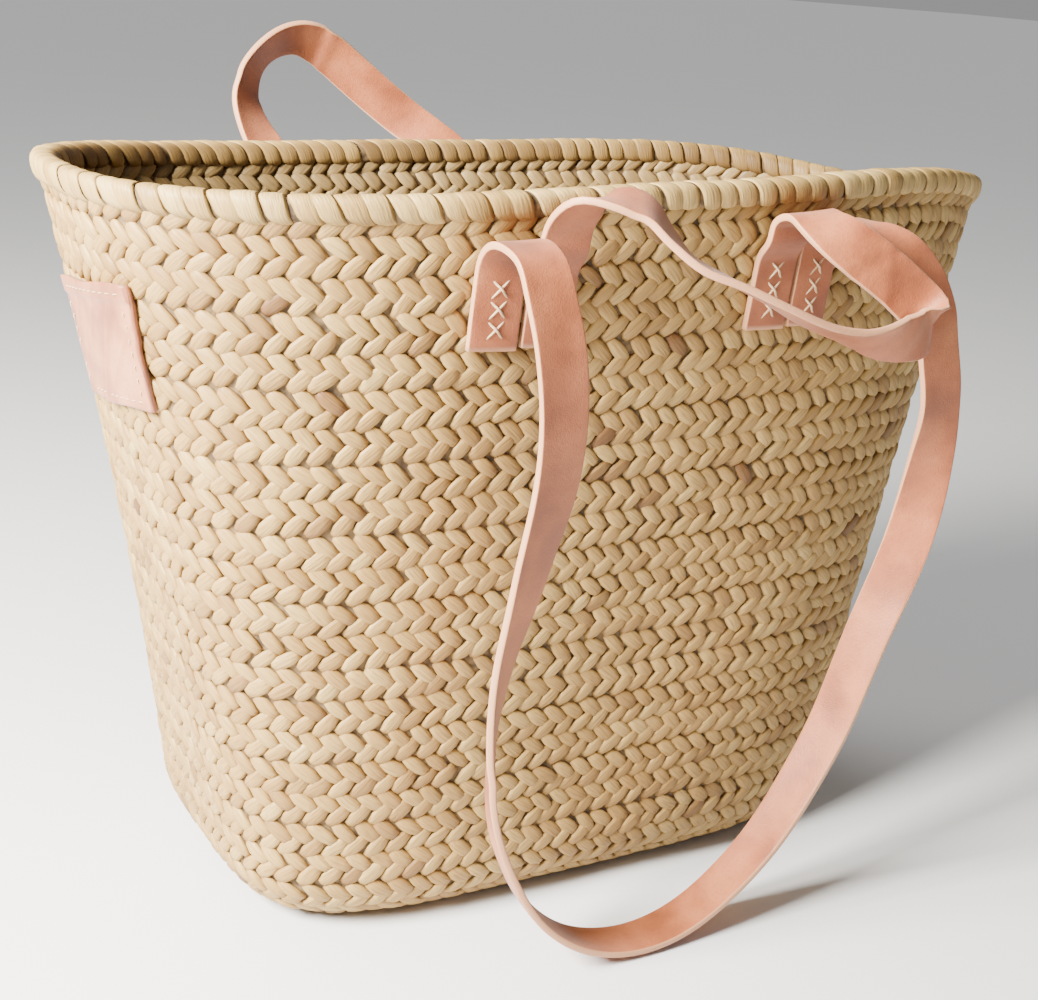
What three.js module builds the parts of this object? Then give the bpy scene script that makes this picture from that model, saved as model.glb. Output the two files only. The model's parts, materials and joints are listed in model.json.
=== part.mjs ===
// Woven market basket: a tapered oval basket of sewn palm braid with a wrapped rim,
// a pair of short leather handles, a pair of long leather shoulder straps and a leather patch.
// Millimetres, +Z up, +X along the long side. The origin is the centre of the flat underside.
// The front is the -Y side.

import * as THREE from "three";

// Basket shell
const HEIGHT = 310;
const TOP_HALF_LENGTH = 216;
const TOP_HALF_WIDTH = 110.6;
const BASE_HALF_LENGTH = 150.7;
const BASE_HALF_WIDTH = 87.2;
const TOP_SQUARENESS = 2.58;
const BASE_SQUARENESS = 4.48;
const WAIST_PULL = 5;
const BRAID = 7;
const FOOT_ROUND_IN = 22.7;
const FOOT_ROUND_UP = 25.2;
const RING_STEPS = 72;
const GAP = 0.3;

// The hand-sewn rim isn't level: [turns around the basket, cosine height, sine height]
const RIM_WAVES = [
  [1, 0.9, -5.7],
  [2, -3.2, -2.0],
  [3, -3.7, 0.3],
  [4, -1.0, 0.0],
];
const WAVE_FULL_HEIGHT = HEIGHT - 20;

// Rim: a round core on the wall's top edge, bound over with flat palm strip
const WALL_TOP = HEIGHT - 10.5;
const CORE_RADIUS = 3.5;
const CORE_DROP = 6.6;
const BINDING_DROP = 13;
const BINDING_PROUD = 2.6;

// Leather straps
const STRAP_WIDTH = 20;
const LEATHER = 3;
const TAB_BOTTOM_DROP = 58;
const TAB_OUT = 0.4 + LEATHER / 2;
const OVER_RADIUS = 11;
const OVER_DROP = 17.4;
const OVER_OUT = TAB_OUT + OVER_RADIUS;
const UP_DROP = 21;
const UP_OUT = 6.8;
const UP_BEND = 8;
const UP_STRAIGHT = 2;
const LONG_HALF_SPACING = 73;
const SHORT_HALF_SPACING = 51.5;
const FRONT_CENTRE_X = -7.5;
const BACK_CENTRE_X = -30;
const LONG_STEPS = 60;
const SHORT_STEPS = 44;

// Thread lacing on each tab, and the leather patch
const THREAD_RADIUS = 0.6;
const LACING_HALF_WIDTH = 3.6;
const LACING_BOTTOM_DROP = 54;
const LACING_TOP_DROP = 31.5;
const LACING_STEPS = 40;
const THREAD_SIDES = 5;
const PATCH_THICK = 2;
const PATCH_FRONT_Y = -47;
const PATCH_BACK_Y = 17;
const PATCH_BOTTOM = 219;
const PATCH_TOP = 267;
const PATCH_TILT = 0.14;
const SEAM_INSET = 3.5;

const finish = (color, roughness) =>
  new THREE.MeshStandardMaterial({ color, roughness, metalness: 0 });
const PALM = finish(0xc9ae7c, 0.75);
const PALM_RIM = finish(0xd2ba8b, 0.7);
const LEATHER_TAN = finish(0xc08a6d, 0.55);
const LEATHER_PALE = finish(0xe0b9a0, 0.6);
const THREAD = finish(0xe6cfae, 0.8);

const basket = new THREE.Group();

function add(name, geometry, material) {
  const mesh = new THREE.Mesh(geometry, material);
  mesh.name = name;
  basket.add(mesh);
}

// ---- The shell's surface ----

// Half length, half width and squareness of the oval at a height, moved outward by out.
function oval(height, out) {
  const share = height / HEIGHT;
  const waist = WAIST_PULL * 4 * share * (1 - share);
  return {
    a: BASE_HALF_LENGTH + (TOP_HALF_LENGTH - BASE_HALF_LENGTH) * share - waist + out,
    b: BASE_HALF_WIDTH + (TOP_HALF_WIDTH - BASE_HALF_WIDTH) * share - waist + out,
    n: BASE_SQUARENESS + (TOP_SQUARENESS - BASE_SQUARENESS) * share,
  };
}

const signedPower = (value, power) => Math.sign(value) * Math.abs(value) ** power;

function lift(angle, height) {
  let wave = 0;
  for (const [turns, cosine, sine] of RIM_WAVES) {
    wave += cosine * Math.cos(turns * angle) + sine * Math.sin(turns * angle);
  }
  return wave * Math.min(height / WAVE_FULL_HEIGHT, 1) ** 3;
}

// A point of the shell at an angle around it, a height up it, and out from its outer face.
function shellPoint(angle, height, out) {
  const { a, b, n } = oval(height, out);
  return new THREE.Vector3(
    a * signedPower(Math.cos(angle), 2 / n),
    b * signedPower(Math.sin(angle), 2 / n),
    height + lift(angle, height),
  );
}

// The same, for a point of the front or back (side -1 or 1) at a given x.
function sidePoint(x, side, height, out) {
  const { a, b, n } = oval(height, out);
  const along = signedPower(x / a, n / 2);
  return shellPoint(Math.atan2(side * Math.sqrt(1 - along * along), along), height, out);
}

// The same, for a point of the left end at a given y.
function endPoint(y, height, out) {
  const { b, n } = oval(height, out);
  const across = signedPower(y / b, n / 2);
  return shellPoint(Math.atan2(across, -Math.sqrt(1 - across * across)), height, out);
}

// ---- Closed solids from rows of points ----

// Joins rows of points, all of one length. Each row is a closed ring of points; the rows either
// come round to the first one (looped) or end in flat caps.
function solidFromRings(rings, looped) {
  const around = rings[0].length;
  const positions = rings.flat().flatMap((point) => [point.x, point.y, point.z]);
  const index = [];
  const last = looped ? rings.length : rings.length - 1;
  for (let row = 0; row < last; row += 1) {
    const next = (row + 1) % rings.length;
    for (let k = 0; k < around; k += 1) {
      const m = (k + 1) % around;
      const [p, q] = [row * around + k, row * around + m];
      const [r, s] = [next * around + k, next * around + m];
      index.push(p, q, s, p, s, r);
    }
  }
  if (!looped) {
    const end = (rings.length - 1) * around;
    for (let k = 1; k < around - 1; k += 1) {
      index.push(0, k + 1, k, end, end + k, end + k + 1);
    }
  }
  const geometry = new THREE.BufferGeometry();
  geometry.setAttribute("position", new THREE.Float32BufferAttribute(positions, 3));
  geometry.setIndex(index);
  return geometry;
}

// Carries a closed section, a list of [height, out] that goes up its outer face and down its
// inner face, all the way around the shell.
function ringAround(section) {
  const downOutside = [...section].reverse();
  const rings = [];
  for (let step = 0; step < RING_STEPS; step += 1) {
    const angle = (2 * Math.PI * step) / RING_STEPS;
    rings.push(downOutside.map(([height, out]) => shellPoint(angle, height, out)));
  }
  return solidFromRings(rings, true);
}

// Carries a flat leather section along stations of { centre, across }.
function strapSolid(stations, width, thickness) {
  const rings = stations.map(({ centre, across }, step) => {
    const before = stations[Math.max(step - 1, 0)].centre;
    const after = stations[Math.min(step + 1, stations.length - 1)].centre;
    const along = after.clone().sub(before).normalize();
    const wide = across.clone().addScaledVector(along, -across.dot(along)).normalize();
    const face = new THREE.Vector3().crossVectors(along, wide);
    return [[-1, -1], [1, -1], [1, 1], [-1, 1]].map(([u, v]) =>
      centre.clone().addScaledVector(wide, (u * width) / 2).addScaledVector(face, (v * thickness) / 2));
  });
  return solidFromRings(rings, false);
}

// Carries a round thread along a closed curve.
function threadLoop(curve, steps) {
  const frames = curve.computeFrenetFrames(steps, true);
  const rings = [];
  for (let step = 0; step < steps; step += 1) {
    const centre = curve.getPointAt(step / steps);
    const ring = [];
    for (let side = 0; side < THREAD_SIDES; side += 1) {
      const turn = (2 * Math.PI * side) / THREAD_SIDES;
      ring.push(centre.clone()
        .addScaledVector(frames.normals[step], THREAD_RADIUS * Math.cos(turn))
        .addScaledVector(frames.binormals[step], THREAD_RADIUS * Math.sin(turn)));
    }
    rings.push(ring);
  }
  return solidFromRings(rings, true);
}

// ---- Base and wall: one continuous braid, parted where it turns up ----

const FOOT_STEPS = 5;
const WALL_LEVELS = [60, 120, 180, 240, WALL_TOP];

// The turn from base to wall, from the underside up: a quarter of an oval.
function footTurn(skin) {
  const rows = [];
  for (let step = 0; step <= FOOT_STEPS; step += 1) {
    const turn = (Math.PI / 2) * (step / FOOT_STEPS);
    const height = skin + (FOOT_ROUND_UP - skin) * (1 - Math.cos(turn));
    const inset = skin + (FOOT_ROUND_IN - skin) * (1 - Math.sin(turn));
    rows.push([height, -inset]);
  }
  return rows;
}

const outerProfile = [...footTurn(0), ...WALL_LEVELS.map((height) => [height, 0])];
const innerProfile = [...footTurn(BRAID), ...WALL_LEVELS.map((height) => [height, -BRAID])];
add("wall", ringAround([...outerProfile, ...innerProfile.reverse()]), PALM);

const baseOutline = [];
for (let step = 0; step < RING_STEPS; step += 1) {
  const point = shellPoint((2 * Math.PI * step) / RING_STEPS, 0, -FOOT_ROUND_IN - GAP);
  baseOutline.push(new THREE.Vector2(point.x, point.y));
}
const basePlate = new THREE.ExtrudeGeometry(new THREE.Shape(baseOutline), {
  depth: BRAID,
  bevelEnabled: false,
});
add("base", basePlate, PALM);

// ---- Rim ----

const CORE_SIDES = 8;
const coreSection = [];
for (let side = 0; side < CORE_SIDES; side += 1) {
  const turn = (2 * Math.PI * (side + 0.5)) / CORE_SIDES;
  const height = HEIGHT - CORE_DROP + CORE_RADIUS * Math.sin(turn);
  coreSection.push([height, -BRAID / 2 + CORE_RADIUS * Math.cos(turn)]);
}
add("rim_core", ringAround(coreSection), PALM_RIM);

// Half of the binding's section, from the foot of its outer leg, over its top: [drop, half width]
const bindingOutside = [
  [BINDING_DROP, BRAID / 2 + 1.6],
  [10.5, BRAID / 2 + BINDING_PROUD],
  [4.5, BRAID / 2 + BINDING_PROUD],
  [1.2, BRAID / 2 + 1.2],
  [0, 2.2],
];
const bindingInside = [
  [2.8, 2.7],
  [4.5, BRAID / 2 + GAP],
  [BINDING_DROP, BRAID / 2 + GAP],
];
const onOuterLeg = ([drop, half]) => [HEIGHT - drop, -BRAID / 2 + half];
const onInnerLeg = ([drop, half]) => [HEIGHT - drop, -BRAID / 2 - half];
const bindingSection = [
  ...bindingOutside.map(onOuterLeg),
  ...[...bindingOutside].reverse().map(onInnerLeg),
  ...[...bindingInside].reverse().map(onInnerLeg),
  ...bindingInside.map(onOuterLeg),
];
add("rim_binding", ringAround(bindingSection), PALM_RIM);

// ---- Straps: each is one leather strip, parted at its two folds so that its loop can swing ----

const FOLD_STEPS = 6;
const smooth = (share) => share * share * (3 - 2 * share);

// The sewn end's route up the wall, as [height, out]. A hanging strap's is folded outward under
// the rim; an upright strap's leans out just far enough to pass the rim.
function tabPath(hangs) {
  const path = [[HEIGHT - TAB_BOTTOM_DROP, TAB_OUT]];
  path.push([HEIGHT - TAB_BOTTOM_DROP + 16, TAB_OUT]);
  for (let step = 0; step <= FOLD_STEPS; step += 1) {
    const share = step / FOLD_STEPS;
    const turn = (Math.PI / 2) * share;
    path.push(hangs
      ? [HEIGHT - OVER_DROP - OVER_RADIUS * (1 - Math.sin(turn)),
        TAB_OUT + OVER_RADIUS * (1 - Math.cos(turn))]
      : [HEIGHT - UP_DROP - UP_STRAIGHT - UP_BEND * (1 - share),
        TAB_OUT + (UP_OUT - TAB_OUT) * smooth(share)]);
  }
  if (!hangs) {
    path.push([HEIGHT - UP_DROP, UP_OUT]);
  }
  return path;
}

const wallTangent = (x, side, height, out) =>
  sidePoint(x - side, side, height, out).sub(sidePoint(x + side, side, height, out));

function tabStations(x, side, hangs) {
  return tabPath(hangs).map(([height, out]) => ({
    centre: sidePoint(x, side, height, out),
    across: wallTangent(x, side, height, out),
  }));
}

// Two strands of thread that cross three times up the tab, joined at both ends.
function lacing(x, side) {
  const CROSSINGS = 3;
  const surface = TAB_OUT + LEATHER / 2 + GAP + THREAD_RADIUS;
  const OVER = 2 * THREAD_RADIUS + GAP;
  const points = [];
  for (let step = 0; step < LACING_STEPS; step += 1) {
    const round = (2 * step + 1) / LACING_STEPS;
    const up = round < 1;
    const climb = up ? round : 2 - round;
    const sway = LACING_HALF_WIDTH * Math.sin(Math.PI * CROSSINGS * climb) * (up ? 1 : -1);
    const ends = Math.sin(Math.PI * climb) ** 0.5;
    const height = HEIGHT - LACING_BOTTOM_DROP + (LACING_BOTTOM_DROP - LACING_TOP_DROP) * climb;
    points.push(sidePoint(x + sway, side, height, surface + OVER * (up ? ends : 0)));
  }
  return threadLoop(new THREE.CatmullRomCurve3(points, true), LACING_STEPS);
}

// A loop's route, from fold to fold: rows of [x, y, z, across x, across y, across z].
function loopStations(route, steps) {
  const centres = new THREE.CatmullRomCurve3(
    route.map(([x, y, z]) => new THREE.Vector3(x, y, z)), false, "centripetal");
  const acrosses = new THREE.CatmullRomCurve3(
    route.map((row) => new THREE.Vector3(row[3], row[4], row[5])), false, "centripetal");
  const foldShare = 1 / (route.length - 1);
  const shares = [0];
  for (let step = 0; step <= steps; step += 1) {
    shares.push(foldShare + (1 - 2 * foldShare) * (step / steps));
  }
  shares.push(1);
  return shares.map((share) => ({
    centre: centres.getPoint(share),
    across: acrosses.getPoint(share),
  }));
}

// The two short rows at each fold, so that the loop leaves its tab square.
function foldRows(x, side, hangs, leaving) {
  return [GAP, 4].map((ahead) => {
    const [height, out] = hangs
      ? [HEIGHT - OVER_DROP, OVER_OUT + ahead]
      : [HEIGHT - UP_DROP + ahead, UP_OUT];
    const centre = sidePoint(x, side, height, out);
    const across = wallTangent(x, side, height, out).multiplyScalar(leaving ? 0.5 : -0.5);
    return [...centre.toArray(), ...across.toArray()];
  });
}

function addStrap(name, { side, hangs, centreX, halfSpacing, route, steps }) {
  const ends = [["left", centreX - halfSpacing], ["right", centreX + halfSpacing]];
  for (const [end, x] of ends) {
    add(`${name}_tab_${end}`, strapSolid(tabStations(x, side, hangs), STRAP_WIDTH, LEATHER), LEATHER_TAN);
    add(`${name}_lacing_${end}`, lacing(x, side), THREAD);
  }
  const rows = [
    ...foldRows(ends[0][1], side, hangs, true),
    ...route,
    ...foldRows(ends[1][1], side, hangs, false).reverse(),
  ];
  add(`${name}_loop`, strapSolid(loopStations(rows, steps), STRAP_WIDTH, LEATHER), LEATHER_TAN);
}

// Hangs in front of the basket, turning half over, its bottom just touching what it stands on.
addStrap("front_long", {
  side: -1,
  hangs: true,
  centreX: FRONT_CENTRE_X,
  halfSpacing: LONG_HALF_SPACING,
  steps: LONG_STEPS,
  route: [
    [-80.5, -133.5, 293, 1, 0, 0],
    [-79, -139.5, 281, 1, 0, 0],
    [-75.5, -143, 264, 1, 0, 0],
    [-72, -143, 242, 1, 0.05, 0],
    [-71, -140, 212, 1, 0.15, 0],
    [-76, -136, 175, 0.95, 0.4, 0],
    [-81, -131, 134, 0.75, 0.7, 0],
    [-82, -129, 98, 0.5, 0.9, 0],
    [-75, -129, 60, 0.25, 1, 0],
    [-58, -131, 28, 0.1, 1, 0],
    [-35, -133, 9.5, 0, 1, 0],
    [-8, -134, 3.4, 0, 1, 0],
    [24, -133, 9.5, 0, 1, 0],
    [56, -132, 34, -0.1, 1, 0],
    [83.5, -132, 78, -0.25, 1, 0],
    [100, -135, 133, -0.4, 0.9, 0],
    [108, -140, 172, -0.65, 0.7, 0],
    [109.5, -144, 210, -0.9, 0.3, 0],
    [107, -146, 236, -1, 0, 0],
    [101.5, -146, 256, -1, 0, 0],
    [96, -145, 274, -1, 0, 0],
    [88, -143, 287, -1, 0, 0],
    [76.5, -139.5, 297, -1, 0, -0.05],
    [69, -133, 302, -1, 0, -0.05],
  ],
});

// Rises, flops forward to the right, creases sharply and comes back to its right-hand tab.
addStrap("front_short", {
  side: -1,
  hangs: false,
  centreX: FRONT_CENTRE_X,
  halfSpacing: SHORT_HALF_SPACING,
  steps: SHORT_STEPS,
  route: [
    [-58.8, -116, 304, 1, 0, 0],
    [-56.5, -122, 311, 0.97, 0.1, 0],
    [-49, -129.5, 314.5, 0.8, 0.5, 0.2],
    [-40, -135, 312, 0.6, 0.75, 0.25],
    [-33, -141, 303, 0.45, 0.85, 0.2],
    [-25, -147, 294.5, 0.3, 0.95, 0.1],
    [-11, -152.5, 288, 0.2, 1, 0],
    [6, -157, 280.5, 0.1, 1, 0],
    [24, -160, 273, 0, 1, -0.1],
    [40, -162, 269, 0, 0.95, -0.3],
    [52, -164, 267, 0, 0.7, -0.7],
    [63, -165.5, 267.5, -0.05, 0.3, -0.95],
    [72, -165, 269, -0.1, 0, -1],
    [77.5, -162, 272, -0.2, -0.1, -0.95],
    [77.5, -158, 277, -0.35, 0, -0.9],
    [72, -155.5, 282, -0.5, 0, -0.85],
    [64.5, -152.5, 288, -0.58, 0, -0.8],
    [55, -148.5, 294.5, -0.65, 0, -0.75],
    [46, -143, 301, -0.75, 0, -0.6],
    [42, -135.5, 305.5, -0.9, 0, -0.35],
    [42.5, -127.5, 308, -1, 0, -0.15],
    [43.6, -120, 306, -1, -0.05, 0],
  ],
});

// Stands up behind the rim, leaning back and to the left, with a crease at its top.
addStrap("back_short", {
  side: 1,
  hangs: false,
  centreX: BACK_CENTRE_X,
  halfSpacing: SHORT_HALF_SPACING,
  steps: SHORT_STEPS,
  route: [
    [-82, 118.5, 298, -0.97, -0.15, 0],
    [-85.5, 125, 307, -0.9, -0.4, 0],
    [-87.5, 133, 319, -0.8, -0.6, 0.1],
    [-84, 138, 330, -0.7, -0.65, 0.25],
    [-76, 142, 340, -0.45, -0.7, 0.5],
    [-65, 145, 346.5, -0.2, -0.65, 0.7],
    [-54, 146, 348, 0.05, -0.6, 0.8],
    [-42, 146, 342.5, 0.35, -0.4, 0.8],
    [-29, 144, 332.5, 0.6, -0.25, 0.75],
    [-14.5, 140, 321, 0.68, -0.15, 0.7],
    [-2, 135, 311.5, 0.75, -0.1, 0.6],
    [8, 128, 304.5, 0.85, -0.1, 0.45],
    [17, 120.5, 298, 0.97, -0.05, 0.15],
  ],
});

// Hangs behind the basket.
addStrap("back_long", {
  side: 1,
  hangs: true,
  centreX: BACK_CENTRE_X,
  halfSpacing: LONG_HALF_SPACING,
  steps: LONG_STEPS,
  route: [
    [-106, 131, 283, -1, 0, 0],
    [-110, 135, 266, -1, 0, 0],
    [-114, 136, 240, -1, 0.1, 0],
    [-116, 135, 200, -0.9, 0.4, 0],
    [-113, 133, 155, -0.7, 0.75, 0],
    [-106, 131, 110, -0.45, 0.9, 0],
    [-92, 130, 66, -0.25, 1, 0],
    [-70, 131, 30, -0.1, 1, 0],
    [-46, 132, 10, 0, 1, 0],
    [-22, 133, 3.4, 0, 1, 0],
    [3, 132, 10, 0, 1, 0],
    [28, 131, 33, 0.1, 1, 0],
    [50, 131, 72, 0.25, 1, 0],
    [63, 132, 118, 0.45, 0.9, 0],
    [69, 133, 162, 0.7, 0.75, 0],
    [69, 135, 205, 0.9, 0.4, 0],
    [64, 136, 243, 1, 0.1, 0],
    [55, 135, 268, 1, 0, 0],
    [48, 132, 282, 1, 0, 0],
  ],
});

// ---- Leather patch on the left end, and its seam thread ----

// A point over the patch, which is sewn on with its front edge a little higher.
function patchPoint(y, height, out) {
  return endPoint(y, height - PATCH_TILT * (y - (PATCH_FRONT_Y + PATCH_BACK_Y) / 2), out);
}

const PATCH_STEPS = 10;
const PATCH_ROWS = 4;
const patchInner = 0.4;
const patchOuter = patchInner + PATCH_THICK;
const patchRings = [];
for (let step = 0; step <= PATCH_STEPS; step += 1) {
  const y = PATCH_FRONT_Y + (PATCH_BACK_Y - PATCH_FRONT_Y) * (step / PATCH_STEPS);
  const ring = [];
  for (let row = 0; row <= PATCH_ROWS; row += 1) {
    ring.push(patchPoint(y, PATCH_BOTTOM + (PATCH_TOP - PATCH_BOTTOM) * (row / PATCH_ROWS), patchOuter));
  }
  for (let row = PATCH_ROWS; row >= 0; row -= 1) {
    ring.push(patchPoint(y, PATCH_BOTTOM + (PATCH_TOP - PATCH_BOTTOM) * (row / PATCH_ROWS), patchInner));
  }
  patchRings.push(ring);
}
add("patch", solidFromRings(patchRings, false), LEATHER_PALE);

const seamOut = patchOuter + GAP + THREAD_RADIUS;
const seamCorners = [
  [PATCH_FRONT_Y + SEAM_INSET, PATCH_BOTTOM + SEAM_INSET],
  [PATCH_BACK_Y - SEAM_INSET, PATCH_BOTTOM + SEAM_INSET],
  [PATCH_BACK_Y - SEAM_INSET, PATCH_TOP - SEAM_INSET],
  [PATCH_FRONT_Y + SEAM_INSET, PATCH_TOP - SEAM_INSET],
];
const SEAM_POINTS_PER_SIDE = 8;
const seamPoints = seamCorners.flatMap(([y, height], corner) => {
  const [nextY, nextHeight] = seamCorners[(corner + 1) % seamCorners.length];
  const side = [];
  for (let step = 0; step < SEAM_POINTS_PER_SIDE; step += 1) {
    const share = (step + 0.5) / SEAM_POINTS_PER_SIDE;
    side.push(patchPoint(y + (nextY - y) * share, height + (nextHeight - height) * share, seamOut));
  }
  return side;
});
add("patch_thread", threadLoop(new THREE.CatmullRomCurve3(seamPoints, true), 48), THREAD);

export default basket;
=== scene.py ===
"""The looks of a woven market basket: sewn palm braid, wrapped rim, leather straps and patch.

Shapes are worked out in millimetres and put into Blender in metres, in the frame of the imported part.
"""

import json
import math

import bpy
import numpy as np
from mathutils import Matrix, Vector


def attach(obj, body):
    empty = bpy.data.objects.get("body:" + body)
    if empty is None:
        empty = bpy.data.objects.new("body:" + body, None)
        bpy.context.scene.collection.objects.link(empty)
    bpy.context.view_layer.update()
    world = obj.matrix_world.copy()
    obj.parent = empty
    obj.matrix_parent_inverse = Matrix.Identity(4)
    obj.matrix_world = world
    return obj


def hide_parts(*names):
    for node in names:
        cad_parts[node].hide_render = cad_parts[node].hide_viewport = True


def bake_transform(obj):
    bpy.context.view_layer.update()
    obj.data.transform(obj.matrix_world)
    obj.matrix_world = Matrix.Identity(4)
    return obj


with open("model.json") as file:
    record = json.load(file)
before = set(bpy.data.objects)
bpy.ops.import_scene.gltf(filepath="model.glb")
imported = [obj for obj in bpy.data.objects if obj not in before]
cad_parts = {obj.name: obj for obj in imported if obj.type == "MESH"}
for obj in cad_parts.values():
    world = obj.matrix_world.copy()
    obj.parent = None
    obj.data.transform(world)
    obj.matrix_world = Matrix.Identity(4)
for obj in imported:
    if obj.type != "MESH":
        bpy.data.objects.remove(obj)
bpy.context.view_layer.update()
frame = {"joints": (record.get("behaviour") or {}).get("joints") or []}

MM = 0.001
rng = np.random.default_rng(7)

# ---- Driving sizes, in millimetres, the same as the part's ----

HEIGHT = 310.0
TOP_HALF = (216.0, 110.6)
BASE_HALF = (150.7, 87.2)
TOP_SQUARENESS = 2.58
BASE_SQUARENESS = 4.48
WAIST_PULL = 5.0
BRAID = 7.0
FOOT_ROUND_IN = 22.7
FOOT_ROUND_UP = 25.2
RIM_WAVES = ((1, 0.9, -5.7), (2, -3.2, -2.0), (3, -3.7, 0.3), (4, -1.0, 0.0))
WAVE_FULL_HEIGHT = HEIGHT - 20
BINDING_DROP = 13.0
BINDING_PROUD = 2.6

STRAP_WIDTH = 20.0
LEATHER = 3.0
TAB_BOTTOM_DROP = 58.0
TAB_OUT = 0.4 + LEATHER / 2
OVER_RADIUS = 11.0
OVER_DROP = 17.4
OVER_OUT = TAB_OUT + OVER_RADIUS
UP_DROP = 21.0
UP_OUT = 6.8
UP_BEND = 8.0
UP_STRAIGHT = 2.0
GAP = 0.3
LONG_HALF_SPACING = 73.0
SHORT_HALF_SPACING = 51.5
FRONT_CENTRE_X = -7.5
BACK_CENTRE_X = -30.0

# The braid: one course is a row of strands leaning one way above a row leaning the other way
COURSE = 14.2
STRAND_PITCH = 9.0
STRAND_LEAN = math.radians(41)
STRAND_HALF_WIDTH = 3.25
STRAND_HALF_LENGTH = 7.3
STRAND_CROWN = 1.5
WRAP_PITCH = 8.8

# ---- The basket's surface ----


def oval(height, out):
    """Half length, half width and squareness of the oval at a height: straight lines from base to
    top, less a waist that is greatest half way up, plus a move outward."""
    share = height / HEIGHT
    waist = WAIST_PULL * 4 * share * (1 - share)
    a = BASE_HALF[0] + (TOP_HALF[0] - BASE_HALF[0]) * share - waist + out
    b = BASE_HALF[1] + (TOP_HALF[1] - BASE_HALF[1]) * share - waist + out
    n = BASE_SQUARENESS + (TOP_SQUARENESS - BASE_SQUARENESS) * share
    return np.maximum(a, 0.5), np.maximum(b, 0.5), n


def signed_power(value, power):
    """The value's size to a power, with the value's sign."""
    return np.sign(value) * np.abs(value) ** power


def at_unit(c, s, height, out):
    """A point of the shell where (c, s) lies on the oval of half length and half width one. Its
    height has the rim's uneven wave added, a sum of sines around the basket that grows with the
    cube of the height."""
    a, b, n = oval(height, out)
    turn = np.arctan2(signed_power(s, n / 2), signed_power(c, n / 2))
    wave = sum(p * np.cos(k * turn) + q * np.sin(k * turn) for k, p, q in RIM_WAVES)
    lift = wave * np.clip(height / WAVE_FULL_HEIGHT, 0, 1) ** 3
    return np.stack(np.broadcast_arrays(a * c, b * s, height + lift), -1)


def shell(direction, height, out):
    """A point of the shell in a direction from its middle: the unit direction is divided by its
    own length measured in the oval's power."""
    n = oval(height, out)[2]
    c, s = np.cos(direction), np.sin(direction)
    size = (np.abs(c) ** n + np.abs(s) ** n) ** (1 / n)
    return at_unit(c / size, s / size, height, out)


def side_point(x, side, height, out):
    """A point of the front (side -1) or back (side 1) at a given x."""
    a, _, n = oval(height, out)
    c = x / a
    return at_unit(c, side * (1 - np.abs(c) ** n) ** (1 / n), height, out)


def end_point(y, height, out):
    """A point of the left end at a given y."""
    _, b, n = oval(height, out)
    s = y / b
    return at_unit(-((1 - np.abs(s) ** n) ** (1 / n)), s, height, out)


FOOT_LENGTH = 0.25 * math.pi * (FOOT_ROUND_IN + FOOT_ROUND_UP)
FLAT_LENGTH = BASE_HALF[1] - FOOT_ROUND_IN


def skin(direction, along, out):
    """A point of the basket's skin, inside or outside. along runs up a line of the skin: below
    nought on the flat base, then round the foot's quarter oval, then up the wall. out is square
    to the skin, nought on its outer face."""
    turn = np.clip(along / FOOT_LENGTH, 0, 1) * math.pi / 2
    above = np.maximum(along - FOOT_LENGTH, 0)
    under = np.minimum(along, 0)
    height = FOOT_ROUND_UP * (1 - np.cos(turn)) + above - out * np.cos(turn)
    inset = FOOT_ROUND_IN * (1 - np.sin(turn)) - under - out * np.sin(turn)
    return shell(direction, height, -inset)


WALL_TOP_ALONG = FOOT_LENGTH + HEIGHT - BINDING_DROP - FOOT_ROUND_UP + 4

# ---- Meshes from arrays ----


def new_piece(name, points, polygons, body="basket", smooth=True):
    """A mesh object from points in millimetres and a list of index arrays, one row per face."""
    mesh = bpy.data.meshes.new(name)
    corners = np.concatenate([p.ravel() for p in polygons]).astype(np.int32)
    sizes = np.concatenate([np.full(len(p), p.shape[1]) for p in polygons])
    mesh.vertices.add(len(points))
    mesh.vertices.foreach_set("co", (np.asarray(points, float) * MM).ravel())
    mesh.loops.add(len(corners))
    mesh.loops.foreach_set("vertex_index", corners)
    mesh.polygons.add(len(sizes))
    mesh.polygons.foreach_set("loop_start", np.concatenate([[0], np.cumsum(sizes)[:-1]]).astype(np.int32))
    mesh.polygons.foreach_set("use_smooth", np.full(len(sizes), smooth))
    mesh.update(calc_edges=True)
    piece = bpy.data.objects.new(name, mesh)
    bpy.context.scene.collection.objects.link(piece)
    if body:
        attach(piece, body)
    return piece


def paint(piece, name, values):
    """Stores one number per vertex under a name that materials read."""
    layer = piece.data.attributes.new(name, "FLOAT", "POINT")
    layer.data.foreach_set("value", np.asarray(values, np.float32).ravel())


def lay_uv(piece, u, v):
    """Stores a UV map from one (u, v) pair per vertex."""
    corners = np.zeros(len(piece.data.loops), np.int32)
    piece.data.loops.foreach_get("vertex_index", corners)
    layer = piece.data.uv_layers.new(name="UVMap")
    pairs = np.stack([np.ravel(u), np.ravel(v)], -1)[corners]
    layer.data.foreach_set("uv", pairs.astype(np.float32).ravel())


def stacked_rings(copies, rings, around, looped=False):
    """Faces of many copies of a stack of rings, each ring joined to the next by quads and the two
    ends closed by one face each, or the last ring joined to the first."""
    r, k = np.meshgrid(np.arange(rings if looped else rings - 1), np.arange(around), indexing="ij")
    nxt, m = (r + 1) % rings, (k + 1) % around
    quads = np.stack([r * around + k, r * around + m, nxt * around + m, nxt * around + k], -1)
    offset = np.arange(copies)[:, None, None] * rings * around
    faces = [(quads.reshape(1, -1, 4) + offset).reshape(-1, 4)]
    if not looped:
        first = np.arange(around)[::-1]
        last = (rings - 1) * around + np.arange(around)
        caps = np.stack([first, last])[None] + offset
        faces.append(caps.reshape(-1, around))
    return faces


def unit(v):
    return v / np.maximum(np.linalg.norm(v, axis=-1, keepdims=True), 1e-9)


# ---- Node helpers ----


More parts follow.
